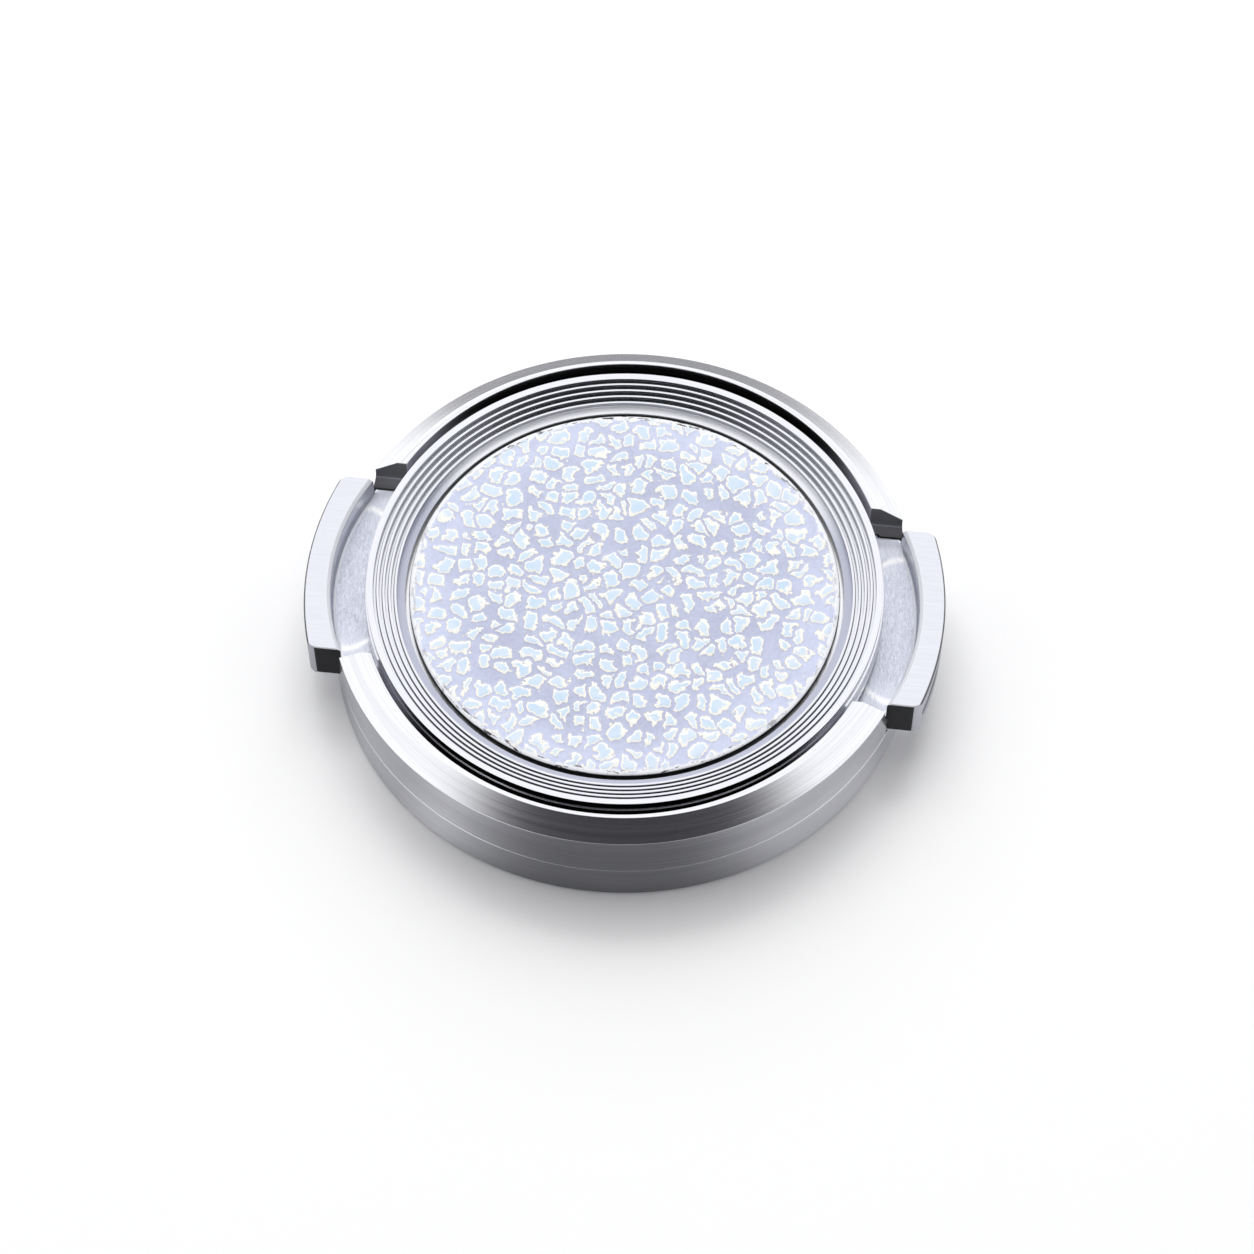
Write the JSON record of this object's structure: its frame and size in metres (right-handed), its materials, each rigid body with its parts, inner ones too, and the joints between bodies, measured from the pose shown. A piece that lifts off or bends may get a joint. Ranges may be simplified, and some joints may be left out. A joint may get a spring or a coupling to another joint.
{
  "type": "pinch lens cap",
  "caption": "Round metal camera lens cap with a chamfered bezel, a stepped inner ring, a pebble-grained centre disc and sprung finger tabs at the sides that slide in to release it.",
  "frame": {"origin": "centre of the skirt's lower edge, on the surface that the cap stands on", "axes": "+Z out of the cap's front, X through the two finger tabs"},
  "size_m": [0.059, 0.054, 0.0104],
  "materials": {
    "housing_metal": "turned and brushed round the axis, clear anodised",
    "ring_polished": "polished, with turned grooves",
    "latch_metal": "brushed tab, bead-blasted floor",
    "disc_grain": "pebble grain, pale raised cells on a lavender ground",
    "plate_black": "matt black against stray light",
    "hook_plastic": "moulded, matt black",
    "spring_steel": "drawn spring wire",
    "screw_steel": "bright steel"
  },
  "bodies": {
    "cap": {"front_housing": "housing_metal", "rear_skirt": "housing_metal", "stepped_ring": "ring_polished", "centre_disc": "disc_grain", "rear_plate": "plate_black", "rear_plate_screws": "screw_steel", "front_guide_pin": "screw_steel", "back_guide_pin": "screw_steel", "right_front_spring": "spring_steel", "right_back_spring": "spring_steel", "left_front_spring": "spring_steel", "left_back_spring": "spring_steel"},
    "right_tab": {"right_latch": "latch_metal", "right_thread_hook": "hook_plastic", "right_hook_screws": "screw_steel"},
    "left_tab": {"left_latch": "latch_metal", "left_thread_hook": "hook_plastic", "left_hook_screws": "screw_steel"}
  },
  "joints": [
    {"name": "right_tab_slide", "type": "slide", "parent": "cap", "child": "right_tab", "axis": [-1, 0, 0], "range_m": [0, 0.002], "stiffness_N_per_m": 800, "springref_m": -0.0015, "deforming": ["right_front_spring", "right_back_spring"]},
    {"name": "left_tab_slide", "type": "slide", "parent": "cap", "child": "left_tab", "axis": [1, 0, 0], "range_m": [0, 0.002], "stiffness_N_per_m": 800, "springref_m": -0.0015, "deforming": ["left_front_spring", "left_back_spring"]}
  ]
}
